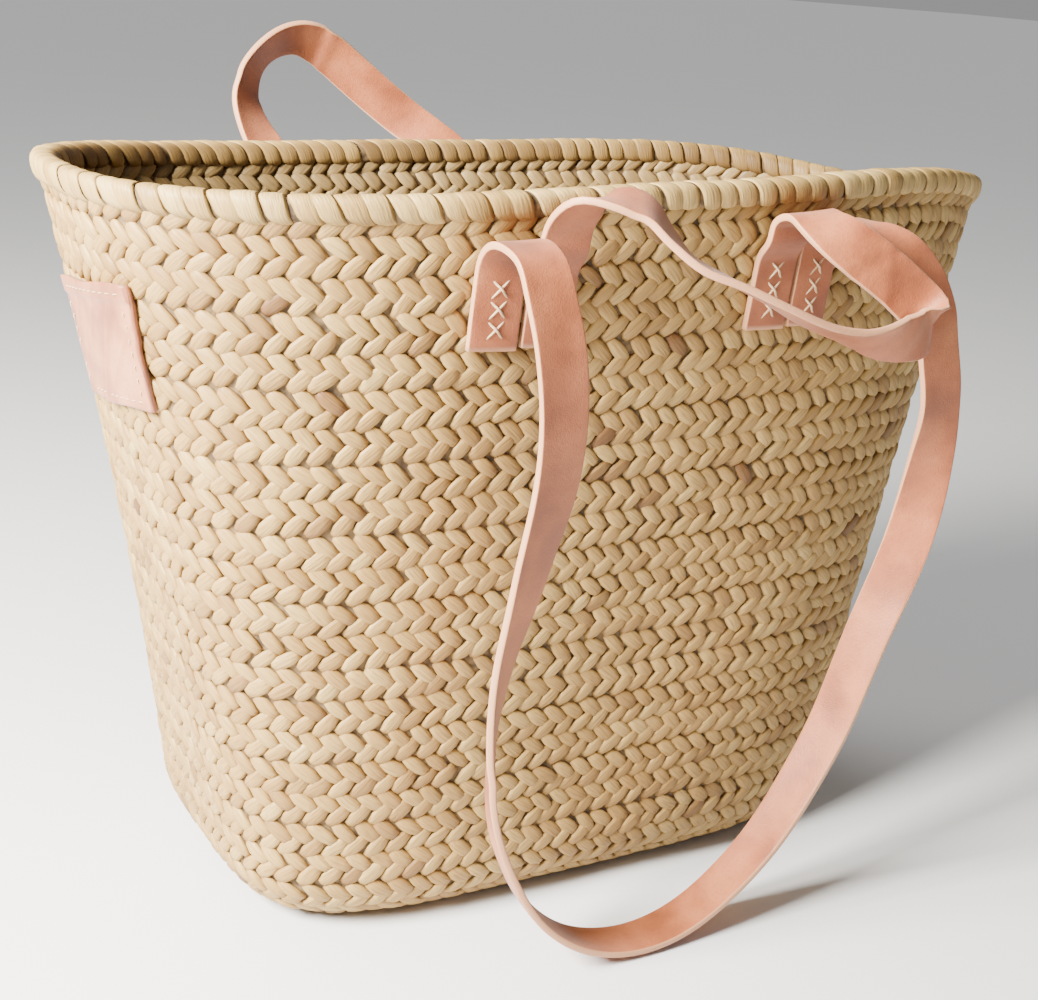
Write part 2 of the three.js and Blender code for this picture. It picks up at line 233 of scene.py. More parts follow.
def node(tree, kind, inputs=None, **settings):
    """A shader node with its settings and inputs. An input is a value or another node's socket."""
    made = tree.nodes.new(kind)
    for key, value in settings.items():
        setattr(made, key, value)
    for key, value in (inputs or {}).items():
        if isinstance(value, bpy.types.NodeSocket):
            tree.links.new(value, made.inputs[key])
        else:
            made.inputs[key].default_value = value
    return made


def ramp(tree, factor, stops):
    """A colour ramp through (position, colour) stops."""
    made = node(tree, "ShaderNodeValToRGB", {"Fac": factor})
    elements = made.color_ramp.elements
    while len(elements) < len(stops):
        elements.new(0.5)
    for element, (position, colour) in zip(elements, stops):
        element.position = position
        element.color = (*colour, 1)
    return made.outputs["Color"]


def mix(tree, factor, a, b, blend="MIX"):
    """Colour a mixed with colour b."""
    made = node(tree, "ShaderNodeMix", data_type="RGBA", blend_type=blend)
    for index, value in ((0, factor), (6, a), (7, b)):
        if isinstance(value, bpy.types.NodeSocket):
            tree.links.new(value, made.inputs[index])
        else:
            made.inputs[index].default_value = value if index == 0 else (*value, 1)
    return made.outputs[2]


def maths(tree, operation, a, b=0.0):
    return node(tree, "ShaderNodeMath", {0: a, 1: b}, operation=operation).outputs[0]


def remap(tree, value, low, high, to_low=0.0, to_high=1.0):
    inputs = {"Value": value, "From Min": low, "From Max": high, "To Min": to_low, "To Max": to_high}
    return node(tree, "ShaderNodeMapRange", inputs).outputs[0]


def group(name, inputs, outputs):
    """An empty node group with named sockets, and its input and output nodes."""
    tree = bpy.data.node_groups.new(name, "ShaderNodeTree")
    for socket, kind in inputs:
        tree.interface.new_socket(name=socket, in_out="INPUT", socket_type=kind)
    for socket, kind in outputs:
        tree.interface.new_socket(name=socket, in_out="OUTPUT", socket_type=kind)
    return tree, tree.nodes.new("NodeGroupInput").outputs, tree.nodes.new("NodeGroupOutput")


FLOAT, VECTOR = "NodeSocketFloat", "NodeSocketVector"


def fibre_group():
    """Long fine streaks along U of a UV map, as fibres of a leaf or strands of thread."""
    tree, given, result = group(
        "fibres", [("Vector", VECTOR), ("Length", FLOAT), ("Fineness", FLOAT)],
        [("Streak", FLOAT), ("Blotch", FLOAT)])
    scale = node(tree, "ShaderNodeCombineXYZ", {0: given["Length"], 1: given["Fineness"], 2: 1.0})
    along = node(tree, "ShaderNodeVectorMath", {0: given["Vector"], 1: scale.outputs[0]},
                 operation="MULTIPLY")
    streak = node(tree, "ShaderNodeTexNoise", {"Vector": along.outputs[0], "Scale": 1.0, "Detail": 3.0})
    blotch = node(tree, "ShaderNodeTexNoise", {"Vector": given["Vector"], "Scale": 0.35, "Detail": 2.0})
    tree.links.new(remap(tree, streak.outputs[0], 0.3, 0.7), result.inputs["Streak"])
    tree.links.new(remap(tree, blotch.outputs[0], 0.3, 0.7), result.inputs["Blotch"])
    return tree


FIBRES = fibre_group()


def new_material(name):
    material = bpy.data.materials.new(name)
    material.use_nodes = True
    tree = material.node_tree
    shader = tree.nodes["Principled BSDF"]
    return material, tree, shader


def palm_material(name, deep, straw, pale):
    """Dry palm leaf: each strand has its own tone of straw, made darker towards its tucked ends and on
    the rim's inner side as painted shade, with fibres along it and brown blotches, a satin face
    and fine ridges."""
    material, tree, shader = new_material(name)
    uv = node(tree, "ShaderNodeUVMap", uv_map="UVMap").outputs[0]
    shade = node(tree, "ShaderNodeAttribute", attribute_name="shade").outputs["Fac"]
    fibres = node(tree, "ShaderNodeGroup", node_tree=FIBRES)
    tree.links.new(uv, fibres.inputs["Vector"])
    fibres.inputs["Length"].default_value = 0.9
    fibres.inputs["Fineness"].default_value = 9.0
    coordinates = node(tree, "ShaderNodeTexCoord").outputs["Object"]
    weather = node(tree, "ShaderNodeTexNoise", {"Vector": coordinates, "Scale": 9.0, "Detail": 3.0})
    base = ramp(tree, shade, ((0.0, deep), (0.45, straw), (1.0, pale)))
    streaked = mix(tree, remap(tree, fibres.outputs["Streak"], 0.35, 1.0, 0.0, 0.42), base, deep)
    olive = tuple(0.55 * c for c in straw)
    aged = mix(tree, remap(tree, fibres.outputs["Blotch"], 0.6, 1.0, 0.0, 0.35), streaked, olive)
    worn = mix(tree, remap(tree, weather.outputs[0], 0.55, 0.75, 0.0, 0.3), aged, deep)
    tree.links.new(worn, shader.inputs["Base Color"])
    tree.links.new(remap(tree, fibres.outputs["Streak"], 0, 1, 0.48, 0.68), shader.inputs["Roughness"])
    ridges = node(tree, "ShaderNodeBump",
                  {"Height": fibres.outputs["Streak"], "Strength": 0.5, "Distance": 0.0003})
    tree.links.new(ridges.outputs[0], shader.inputs["Normal"])
    shader.inputs["Specular IOR Level"].default_value = 0.4
    return material


def leather_material(name, tan, deep, pale, edge):
    """Vegetable-tanned leather: mottled colour, fine pores, creases darkened as painted shade, and cut
    edges in their own edge colour, paler on the straps partly as a painted highlight and darker on
    the patch as painted shade.
    """
    material, tree, shader = new_material(name)
    place = node(tree, "ShaderNodeTexCoord").outputs["Object"]
    cut = node(tree, "ShaderNodeAttribute", attribute_name="cut").outputs["Fac"]
    crease_shade_and_hem = node(tree, "ShaderNodeAttribute", attribute_name="crease_shade_and_hem").outputs["Fac"]
    mottle = node(tree, "ShaderNodeTexNoise", {"Vector": place, "Scale": 42.0, "Detail": 5.0})
    flecks = node(tree, "ShaderNodeTexNoise", {"Vector": place, "Scale": 700.0, "Detail": 2.0})
    pores = node(tree, "ShaderNodeTexVoronoi", {"Vector": place, "Scale": 1500.0})
    base = ramp(tree, mottle.outputs[0], ((0.32, deep), (0.5, tan), (0.68, pale)))
    flecked = mix(tree, remap(tree, flecks.outputs[0], 0.5, 0.8, 0.0, 0.4), base, deep)
    # Creases are darkened towards the deep colour: painted shade.
    crease_shaded = mix(tree, remap(tree, crease_shade_and_hem, 0.0, 1.0, 0.0, 0.6), flecked, deep)
    # Cut edges take the edge colour: partly their own colour, partly painted highlight on the straps and
    # painted shade on the patch.
    finished = mix(tree, remap(tree, cut, 0.2, 0.8), crease_shaded, edge)
    tree.links.new(finished, shader.inputs["Base Color"])
    rough = remap(tree, mottle.outputs[0], 0.3, 0.7, 0.42, 0.6)
    tree.links.new(rough, shader.inputs["Roughness"])
    grain = maths(tree, "ADD", pores.outputs["Distance"], flecks.outputs[0])
    bump = node(tree, "ShaderNodeBump", {"Height": grain, "Strength": 0.35, "Distance": 0.0002})
    tree.links.new(bump.outputs[0], shader.inputs["Normal"])
    shader.inputs["Specular IOR Level"].default_value = 0.45
    shader.inputs["Sheen Weight"].default_value = 0.08
    return material


def thread_material():
    """Waxed natural thread with its twist as fine slanted streaks."""
    material, tree, shader = new_material("natural_thread")
    uv = node(tree, "ShaderNodeUVMap", uv_map="UVMap").outputs[0]
    fibres = node(tree, "ShaderNodeGroup", node_tree=FIBRES)
    tree.links.new(uv, fibres.inputs["Vector"])
    fibres.inputs["Length"].default_value = 2.0
    fibres.inputs["Fineness"].default_value = 6.0
    colour = mix(tree, fibres.outputs["Streak"], (0.62, 0.44, 0.26), (0.38, 0.23, 0.12))
    tree.links.new(colour, shader.inputs["Base Color"])
    bump = node(tree, "ShaderNodeBump",
                {"Height": fibres.outputs["Streak"], "Strength": 0.5, "Distance": 0.0002})
    tree.links.new(bump.outputs[0], shader.inputs["Normal"])
    shader.inputs["Roughness"].default_value = 0.7
    return material


PALM = palm_material("dry_palm", (0.12, 0.05, 0.012), (0.33, 0.195, 0.054), (0.48, 0.33, 0.115))
# The inside's palm is a darker copy of the same palm: painted shade inside the basket.
PALM_INSIDE_SHADED = palm_material("dry_palm_inside_painted_shade", (0.09, 0.05, 0.016), (0.26, 0.165, 0.058), (0.37, 0.255, 0.11))
PALM_RIM = palm_material("dry_palm_rim", (0.13, 0.07, 0.02), (0.35, 0.215, 0.062), (0.50, 0.35, 0.13))
# The tan's edge colour is paler: partly the cut leather's own colour, partly a painted highlight.
TAN = leather_material("tan_leather", (0.300, 0.086, 0.029), (0.190, 0.050, 0.017), (0.380, 0.124, 0.045),
                       (0.46, 0.22, 0.11))
# The patch's edge colour is darker: painted shade along its edges.
PINK = leather_material("pale_pink_leather", (0.38, 0.140, 0.062), (0.22, 0.068, 0.029), (0.45, 0.185, 0.090),
                        (0.27, 0.095, 0.044))
THREAD = thread_material()


def shadow_palm_material():
    """The braid's inner strands, seen only in the gaps: painted shade, a very dark straw with coarse streaks.
    """
    material, tree, shader = new_material("palm_gap_painted_shade")
    place = node(tree, "ShaderNodeTexCoord").outputs["Object"]
    streak = node(tree, "ShaderNodeTexNoise", {"Vector": place, "Scale": 260.0, "Detail": 2.0})
    colour = ramp(tree, streak.outputs[0], ((0.35, (0.05, 0.028, 0.01)), (0.65, (0.19, 0.12, 0.05))))
    tree.links.new(colour, shader.inputs["Base Color"])
    bump = node(tree, "ShaderNodeBump",
                {"Height": streak.outputs[0], "Strength": 0.6, "Distance": 0.0006})
    tree.links.new(bump.outputs[0], shader.inputs["Normal"])
    shader.inputs["Roughness"].default_value = 0.85
    return material


PALM_GAP_SHADE = shadow_palm_material()

# ---- Braid ----

AROUND = 10
# Rings of one strand, from its crown down to its hidden underside: (share of outline, share of crown)
STRAND_RINGS = ((0.42, 1.0), (0.78, 0.87), (0.96, 0.42), (0.94, -0.3), (0.5, -0.6))


def strand_template():
    """One strand of the braid as a closed pillow: rings of a rounded lozenge, |u|^3 + |v|^3 = 1,
    that fall away from its crown. Returns u, v and height for each of its points."""
    turn = 2 * math.pi * np.arange(AROUND) / AROUND
    u, v = np.cos(turn), np.sin(turn)
    size = (np.abs(u) ** 3 + np.abs(v) ** 3) ** (1 / 3)
    u, v = u / size, v / size
    share, crown = np.array(STRAND_RINGS).T
    return share[:, None] * u, share[:, None] * v, np.broadcast_to(crown[:, None], (len(share), AROUND))


def ring_table(along, out):
    """Distance around the skin at a height along it, as a table from distance to direction."""
    direction = np.linspace(-math.pi, math.pi, 1441)
    points = skin(direction, np.full_like(direction, along), out)
    steps = np.linalg.norm(np.diff(points[:, :2], axis=0), axis=1)
    return np.concatenate([[0], np.cumsum(steps)]), direction


def braid_rows(name, first, last, inside, material):
    """Rows of strands from one height along the skin to another. Alternate rows lean alternate
    ways. Each strand is the template turned by its lean and carried onto the skin, with its own
    small differences in place, size, lean and shade."""
    u, v, rise = strand_template()
    face = -BRAID if inside else 0.0
    sense = -1 if inside else 1
    half = COURSE / 2
    points, shades, us, vs = [], [], [], []
    for row in range(first, last):
        upper = 1 if row % 2 else -1
        middle = ROW_START + (row + 0.5) * half - 0.25 * upper
        distance, direction = ring_table(middle, face)
        count = max(6, round(distance[-1] / STRAND_PITCH))
        pitch = distance[-1] / count
        start = (0.31 * (row // 2) + 0.5 * (row % 2)) * pitch
        place = start + (np.arange(count) + rng.normal(0, 0.05, count)) * pitch
        wide = STRAND_HALF_WIDTH * pitch / STRAND_PITCH * rng.normal(1, 0.06, count)
        long = STRAND_HALF_LENGTH * rng.normal(1, 0.05, count)
        lean = (STRAND_LEAN + rng.normal(0, 0.07, count)) * -upper * sense
        sway = 0.7 * np.sin(2 * math.pi * place / distance[-1] * 3 + row * 1.7)
        raised = rng.normal(0, 0.16, count)
        shape = (slice(None), None, None)
        across = u[None] * long[shape]
        width = v[None] * wide[shape]
        s = place[shape] + across * np.cos(lean)[shape] - width * np.sin(lean)[shape]
        q = middle + (sway + rng.normal(0, 0.2, count))[shape] + across * np.sin(lean)[shape] \
            + width * np.cos(lean)[shape]
        from_seam = upper * (q - middle) / half
        dip = 0.7 * np.abs(u[None]) ** 3 + 0.55 * np.clip(from_seam + 0.2, 0, 1) ** 2
        depth = (rise[None] - 1) * STRAND_CROWN + raised[shape] - dip
        depth = np.minimum(depth, 0.3)
        theta = np.interp(np.mod(s, distance[-1]), distance, direction)
        points.append(skin(theta, q, face + sense * depth).reshape(-1, 3))
        tone = rng.normal(0.55, 0.11, count) - 0.25 * (rng.random(count) < 0.05)
        # Each strand is darker towards its ends, where they tuck under their neighbours: painted shade.
        shades.append(np.clip(tone[shape] - 0.22 * np.abs(u[None]) ** 2, 0, 1).ravel())
        us.append((across / 8 + rng.uniform(0, 60, count)[shape]).ravel())
        vs.append((width / 8 + rng.uniform(0, 60, count)[shape]).ravel())
    points = np.concatenate(points)
    points[:, 2] = np.maximum(points[:, 2], 0)
    copies = len(points) // (len(STRAND_RINGS) * AROUND)
    faces = stacked_rings(copies, len(STRAND_RINGS), AROUND)
    if not inside:
        faces = [f[:, ::-1] for f in faces]
    piece = new_piece(name, points, faces)
    paint(piece, "shade", np.concatenate(shades))
    lay_uv(piece, np.concatenate(us), np.concatenate(vs))
    piece.data.materials.append(material)
    return piece


ROW_START = -FLAT_LENGTH + 2
ROWS = round((WALL_TOP_ALONG - ROW_START) / (COURSE / 2))
FOOT_ROW = int((FOOT_LENGTH * 0.3 - ROW_START) / (COURSE / 2))
BANDS = (("base", 0, FOOT_ROW), ("low", FOOT_ROW, FOOT_ROW + 17),
         ("middle", FOOT_ROW + 17, FOOT_ROW + 31), ("high", FOOT_ROW + 31, ROWS))
for band, low, high in BANDS:
    braid_rows(f"braid_outside_{band}", low, high, False, PALM)
    braid_rows(f"braid_inside_{band}", low, high, True, PALM_INSIDE_SHADED)


def braid_core():
    """The middle of the braid, which closes the gaps between strands: the skin's line from the
    middle of the base to the rim and back again 3 mm further in, carried all the way round."""
    direction = np.linspace(-math.pi, math.pi, 240, endpoint=False)
    line = np.concatenate([np.linspace(-FLAT_LENGTH + 1, 0, 12)[:-1], np.linspace(0, FOOT_LENGTH, 9)[:-1],
                           np.linspace(FOOT_LENGTH, WALL_TOP_ALONG + 3, 30)])
    outer = skin(direction[None], line[:, None], np.full((len(line), 1), -1.9))
    inner = skin(direction[None], line[::-1, None], np.full((len(line), 1), -BRAID + 1.9))
    rings = np.concatenate([outer, inner])
    faces = stacked_rings(1, len(rings), len(direction))
    piece = new_piece("braid_core", rings.reshape(-1, 3), faces)
    # The core is painted dark: painted shade in the gaps between the strands.
    piece.data.materials.append(PALM_GAP_SHADE)
    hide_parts("wall", "base")
    return piece


braid_core()

# ---- Rim ----

RIM_HALF_WIDTH = BRAID / 2 + BINDING_PROUD
RIM_HALF_HEIGHT = BINDING_DROP / 2


def rim_section(turn, grow):
    """A point of the rim's rounded section: a squarish oval about the wall's top edge. turn is
    nought on the outside and a quarter turn on top; below it draws in to the wall. Returns height
    and out."""
    corner = np.where(np.sin(turn) < 0, 1.0, 0.72)
    out = -BRAID / 2 + (RIM_HALF_WIDTH + grow) * signed_power(np.cos(turn), corner)
    height = HEIGHT - RIM_HALF_HEIGHT + (RIM_HALF_HEIGHT + grow) * signed_power(np.sin(turn), 0.8)
    return height, out


def rim_padding():
    """The bundle under the wraps: the rim's section, a little smaller, carried all the way round."""
    direction = np.linspace(-math.pi, math.pi, 360, endpoint=False)
    turn = 2 * math.pi * np.arange(20) / 20
    height, out = rim_section(turn, -1.5)
    rings = shell(direction[:, None], height[None], out[None])
    piece = new_piece("rim_padding", rings.reshape(-1, 3), [f[:, ::-1] for f in
                      stacked_rings(1, len(direction), 20, looped=True)])
    # The padding is painted dark: painted shade in the gaps between the wraps.
    piece.data.materials.append(PALM_GAP_SHADE)
    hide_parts("rim_core")


def rim_wraps():
    """Flat palm strips wound over the rim at a slant. Each is a closed ribbon whose section is a
    flattened oval, carried over the rim from one foot to the other, narrowing where it is pulled
    into the braid."""
    distance, direction = ring_table(WALL_TOP_ALONG, 0.0)
    count = round(distance[-1] / WRAP_PITCH)
    pitch = distance[-1] / count
    path = np.radians(np.linspace(-72, 252, 22))
    share = (path - path[0]) / (path[-1] - path[0])
    turn = 2 * math.pi * np.arange(8) / 8
    across, thick = np.cos(turn), np.sin(turn)
    place = (np.arange(count) + rng.normal(0, 0.06, count)) * pitch
    wide = pitch * 0.555 * rng.normal(1, 0.05, count)
    tall = rng.normal(0, 0.12, count)
    lean = 7.0 * rng.normal(1, 0.15, count)
    pull = 1 - 0.34 * np.abs(2 * share - 1) ** 2.4
    s = place[:, None, None] + lean[:, None, None] * (0.5 - share)[None, :, None] * 2 \
        + wide[:, None, None] * pull[None, :, None] * across[None, None]
    flat = 0.08 + 0.45 * np.abs(2 * share - 1) ** 2
    rise = 0.5 * thick[None, None] - flat[None, :, None] * across ** 2
    grow = -0.9 + rise + tall[:, None, None] - 0.9 * (np.abs(2 * share - 1) ** 8)[None, :, None]
    height, out = rim_section(path[None, :, None], grow)
    theta = np.interp(np.mod(s, distance[-1]), distance, direction)
    points = shell(theta, height, out)
    faces = stacked_rings(count, len(path), 8)
    piece = new_piece("rim_wraps", points.reshape(-1, 3), faces)
    tone = rng.normal(0.62, 0.12, count)
    # The wraps' inner legs are darker, as painted shade inside the rim.
    inner = 0.5 * np.clip((share - 0.5) / 0.15, 0, 1)
    shade = np.clip(tone[:, None, None] - inner[None, :, None], 0, 1)
    paint(piece, "shade", np.broadcast_to(shade, s.shape))
    length = np.broadcast_to(share[None, :, None] * 6 + rng.uniform(0, 60, count)[:, None, None], s.shape)
    side = np.broadcast_to(across[None, None] * 0.6 + rng.uniform(0, 60, count)[:, None, None], s.shape)
    lay_uv(piece, length, side)
    piece.data.materials.append(PALM_RIM)
    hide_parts("rim_binding")


rim_padding()
rim_wraps()

# ---- Straps ----

FRONT_LONG = (
    (-80.5, -133.5, 293, 1, 0, 0),
    (-79, -139.5, 281, 1, 0, 0),
    (-75.5, -143, 264, 1, 0, 0),
    (-72, -143, 242, 1, 0.05, 0),
    (-71, -140, 212, 1, 0.15, 0),
    (-76, -136, 175, 0.95, 0.4, 0),
    (-81, -131, 134, 0.75, 0.7, 0),
    (-82, -129, 98, 0.5, 0.9, 0),
    (-75, -129, 60, 0.25, 1, 0),
    (-58, -131, 28, 0.1, 1, 0),
    (-35, -133, 9.5, 0, 1, 0),
    (-8, -134, 3.4, 0, 1, 0),
    (24, -133, 9.5, 0, 1, 0),
    (56, -132, 34, -0.1, 1, 0),
    (83.5, -132, 78, -0.25, 1, 0),
    (100, -135, 133, -0.4, 0.9, 0),
    (108, -140, 172, -0.65, 0.7, 0),
    (109.5, -144, 210, -0.9, 0.3, 0),
    (107, -146, 236, -1, 0, 0),
    (101.5, -146, 256, -1, 0, 0),
    (96, -145, 274, -1, 0, 0),
    (88, -143, 287, -1, 0, 0),
    (76.5, -139.5, 297, -1, 0, -0.05),
    (69, -133, 302, -1, 0, -0.05),
)
FRONT_SHORT = (
    (-58.8, -116, 304, 1, 0, 0),
    (-56.5, -122, 311, 0.97, 0.1, 0),
    (-49, -129.5, 314.5, 0.8, 0.5, 0.2),
    (-40, -135, 312, 0.6, 0.75, 0.25),
    (-33, -141, 303, 0.45, 0.85, 0.2),
    (-25, -147, 294.5, 0.3, 0.95, 0.1),
    (-11, -152.5, 288, 0.2, 1, 0),
    (6, -157, 280.5, 0.1, 1, 0),
    (24, -160, 273, 0, 1, -0.1),
    (40, -162, 269, 0, 0.95, -0.3),
    (52, -164, 267, 0, 0.7, -0.7),
    (63, -165.5, 267.5, -0.05, 0.3, -0.95),
    (72, -165, 269, -0.1, 0, -1),
    (77.5, -162, 272, -0.2, -0.1, -0.95),
    (77.5, -158, 277, -0.35, 0, -0.9),
    (72, -155.5, 282, -0.5, 0, -0.85),
    (64.5, -152.5, 288, -0.58, 0, -0.8),
    (55, -148.5, 294.5, -0.65, 0, -0.75),
    (46, -143, 301, -0.75, 0, -0.6),
    (42, -135.5, 305.5, -0.9, 0, -0.35),
    (42.5, -127.5, 308, -1, 0, -0.15),
    (43.6, -120, 306, -1, -0.05, 0),
)
BACK_SHORT = (
    (-82, 118.5, 298, -0.97, -0.15, 0),
    (-85.5, 125, 307, -0.9, -0.4, 0),
    (-87.5, 133, 319, -0.8, -0.6, 0.1),
    (-84, 138, 330, -0.7, -0.65, 0.25),
    (-76, 142, 340, -0.45, -0.7, 0.5),
    (-65, 145, 346.5, -0.2, -0.65, 0.7),
    (-54, 146, 348, 0.05, -0.6, 0.8),
    (-42, 146, 342.5, 0.35, -0.4, 0.8),
    (-29, 144, 332.5, 0.6, -0.25, 0.75),
    (-14.5, 140, 321, 0.68, -0.15, 0.7),
    (-2, 135, 311.5, 0.75, -0.1, 0.6),
    (8, 128, 304.5, 0.85, -0.1, 0.45),
    (17, 120.5, 298, 0.97, -0.05, 0.15),
)
BACK_LONG = (
    (-106, 131, 283, -1, 0, 0),
    (-110, 135, 266, -1, 0, 0),
    (-114, 136, 240, -1, 0.1, 0),
    (-116, 135, 200, -0.9, 0.4, 0),
    (-113, 133, 155, -0.7, 0.75, 0),
    (-106, 131, 110, -0.45, 0.9, 0),
    (-92, 130, 66, -0.25, 1, 0),
    (-70, 131, 30, -0.1, 1, 0),
    (-46, 132, 10, 0, 1, 0),
    (-22, 133, 3.4, 0, 1, 0),
    (3, 132, 10, 0, 1, 0),
    (28, 131, 33, 0.1, 1, 0),
    (50, 131, 72, 0.25, 1, 0),
    (63, 132, 118, 0.45, 0.9, 0),
    (69, 133, 162, 0.7, 0.75, 0),
    (69, 135, 205, 0.9, 0.4, 0),
    (64, 136, 243, 1, 0.1, 0),
    (55, 135, 268, 1, 0, 0),
    (48, 132, 282, 1, 0, 0),
)


def through(points, shares):
    """A smooth curve through points, where each span's pull depends on the square root of the
    distances beside it (a centripetal spline). shares run from 0 at the first point to 1 at the
    last."""
    padded = np.vstack([2 * points[0] - points[1], points, 2 * points[-1] - points[-2]])
    place = np.clip(shares, 0, 1) * (len(points) - 1)
    span = np.minimum(place.astype(int), len(points) - 2)
    w = (place - span)[:, None]
    p0, p1, p2, p3 = (padded[span + k] for k in range(4))
    d0, d1, d2 = (np.maximum(np.sqrt(np.linalg.norm(b - a, axis=1, keepdims=True)), 1e-4)
                  for a, b in ((p0, p1), (p1, p2), (p2, p3)))
    t1 = ((p1 - p0) / d0 - (p2 - p0) / (d0 + d1) + (p2 - p1) / d1) * d1
    t2 = ((p2 - p1) / d1 - (p3 - p1) / (d1 + d2) + (p3 - p2) / d2) * d1
    return p1 + t1 * w + (3 * (p2 - p1) - 2 * t1 - t2) * w ** 2 + (2 * (p1 - p2) + t1 + t2) * w ** 3


def tab_path(hangs):
    """The sewn end's route up the wall as (height, out): straight up, then either a quarter circle
    outward under the rim or a smooth lean outward to pass the rim."""
    share = np.linspace(0, 1, 13)
    turn = share * math.pi / 2
    if hangs:
        height = HEIGHT - OVER_DROP - OVER_RADIUS * (1 - np.sin(turn))
        out = TAB_OUT + OVER_RADIUS * (1 - np.cos(turn))
    else:
        height = HEIGHT - UP_DROP - UP_STRAIGHT - UP_BEND * (1 - share)
        out = TAB_OUT + (UP_OUT - TAB_OUT) * share * share * (3 - 2 * share)
        height, out = np.append(height, HEIGHT - UP_DROP), np.append(out, UP_OUT)
    rise = np.linspace(HEIGHT - TAB_BOTTOM_DROP, height[0], 9)[:-1]
    return np.concatenate([rise, height]), np.concatenate([np.full(8, TAB_OUT), out])


def wall_across(x, side, height, out):
    return side_point(x - side, side, height, out) - side_point(x + side, side, height, out)


def fold_rows(x, side, hangs, leaving):
    """The two rows just past a fold, so that the loop leaves its tab square."""
    rows = []
    for ahead in (GAP, 4):
        height, out = (HEIGHT - OVER_DROP, OVER_OUT + ahead) if hangs else (HEIGHT - UP_DROP + ahead, UP_OUT)
        across = wall_across(x, side, height, out) * (0.5 if leaving else -0.5)
        rows.append(np.concatenate([side_point(x, side, height, out), across]))
    return rows


def strap_stations(side, hangs, ends, route):
    """Centres and widthwise directions from the bottom of the left tab, along the loop, to the
    bottom of the right tab, about 2.5 mm apart."""
    rows = np.array([*fold_rows(ends[0], side, hangs, True), *route,
                     *fold_rows(ends[1], side, hangs, False)[::-1]])
    shares = np.linspace(0, 1, 400)
    loop = np.hstack([through(rows[:, :3], shares), through(rows[:, 3:], shares)])
    height, out = tab_path(hangs)
    tabs = [np.hstack([side_point(x, side, height, out), 0.5 * wall_across(x, side, height, out)])
            for x in ends]
    tabs[1] = tabs[1][::-1] * (1, 1, 1, -1, -1, -1)
    stations = np.vstack([tabs[0], loop, tabs[1]])
    steps = np.linalg.norm(np.diff(stations[:, :3], axis=0), axis=1)
    distance = np.concatenate([[0], np.cumsum(steps)])
    even = np.linspace(0, distance[-1], round(distance[-1] / 2.5))
    even = np.stack([np.interp(even, distance, column) for column in stations.T], -1)
    even[1:-1] = (even[:-2] + 2 * even[1:-1] + even[2:]) / 4
    return even[:, :3], even[:, 3:], distance[-1]


def strap_section():
    """A leather strap's section as (across, face, cut): a flat oblong with its arrises rounded by a
    squarish oval at each edge. cut is 1 on the cut edges, paler partly in the leather's own colour
    and partly as a painted highlight."""
    half, thin, corner = STRAP_WIDTH / 2, LEATHER / 2, 0.9
    flat = np.linspace(-1, 1, 9) * (half - corner)
    turn = np.radians([-75, -50, -22, 22, 50, 75])
    edge = np.stack([half - corner + corner * signed_power(np.cos(turn), 0.7),
                     thin * signed_power(np.sin(turn), 0.7)], -1)
    lower = np.stack([flat, np.full(9, -thin)], -1)
    upper = np.stack([flat[::-1], np.full(9, thin)], -1)
    section = np.vstack([lower, edge, upper, -edge])
    cut = np.concatenate([np.zeros(9), [0.2, 0.9, 1, 1, 0.9, 0.2]] * 2)
    return section, cut


# A strap sways freely away from its ends
SWAY_EASE, FOLD_BEFORE, FOLD_AFTER = 60, 1.0, 5.0


def leather_strap(name, side, hangs, centre_x, half_spacing, route, folds, divide):
    """One strap from tab to tab: the section carried along its stations. folds lists creases as
    (share of the length, depth, half width, slant): each is a ridge or hollow across the strap.
    divide, meant as the direction that parts the loop from the tabs, is not used."""
    ends = (centre_x - half_spacing, centre_x + half_spacing)
    centre, across, length = strap_stations(side, hangs, ends, route)
    along = unit(np.gradient(centre, axis=0))
    wide = unit(across - along * np.sum(across * along, -1, keepdims=True))
    face = np.cross(along, wide)
    section, cut = strap_section()
    s = np.linspace(0, length, len(centre))[:, None]
    v = section[None, :, 0]
    sway = 0.25 * np.sin(s / 23 + 1.3) + 0.18 * np.sin(s / 9.7)
    crease_shade_and_hem = np.zeros((len(centre), len(section)))
    bend = sway * (1 - np.exp(-(s / SWAY_EASE) ** 2)) * (1 - np.exp(-((s - length) / SWAY_EASE) ** 2))
    bend = np.broadcast_to(bend, crease_shade_and_hem.shape).copy()
    for share, depth, width, slant in folds:
        near = np.exp(-(((s - share * length) + slant * v) / width) ** 2)
        bend += depth * near
        # Each fold is also darkened in colour, as painted shade.
        crease_shade_and_hem = np.maximum(crease_shade_and_hem, near * min(1, abs(depth)))
    cup = 0.25 * (v / (STRAP_WIDTH / 2)) ** 2
    offset = section[None, :, 1] + bend + cup - 0.12
    points = centre[:, None] + wide[:, None] * v[..., None] + face[:, None] * offset[..., None]
    points[..., 2] = np.maximum(points[..., 2], 0.02)
    faces = stacked_rings(1, len(centre), len(section))
    piece = new_piece(f"{name}_leather", points.reshape(-1, 3), faces, body=None)
    ends_cut = np.zeros_like(s)
    ends_cut[[0, -1]] = 1
    paint(piece, "cut", np.maximum(np.broadcast_to(cut[None], crease_shade_and_hem.shape), ends_cut))
    paint(piece, "crease_shade_and_hem", crease_shade_and_hem)
    lay_uv(piece, np.broadcast_to(s / 10, crease_shade_and_hem.shape), np.broadcast_to(v / 10, crease_shade_and_hem.shape))
    piece.data.materials.append(TAN)
    pivot = next(j["pos_m"] for j in frame["joints"] if j["name"] == f"{name}_swing")
    pivot, divide = Vector(pivot), Vector(divide).normalized()
    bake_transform(piece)
    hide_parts(f"{name}_loop", f"{name}_tab_left", f"{name}_tab_right")
    for end, x in zip(("left", "right"), ends):
        lacing(f"{name}_lacing_{end}", x, side)


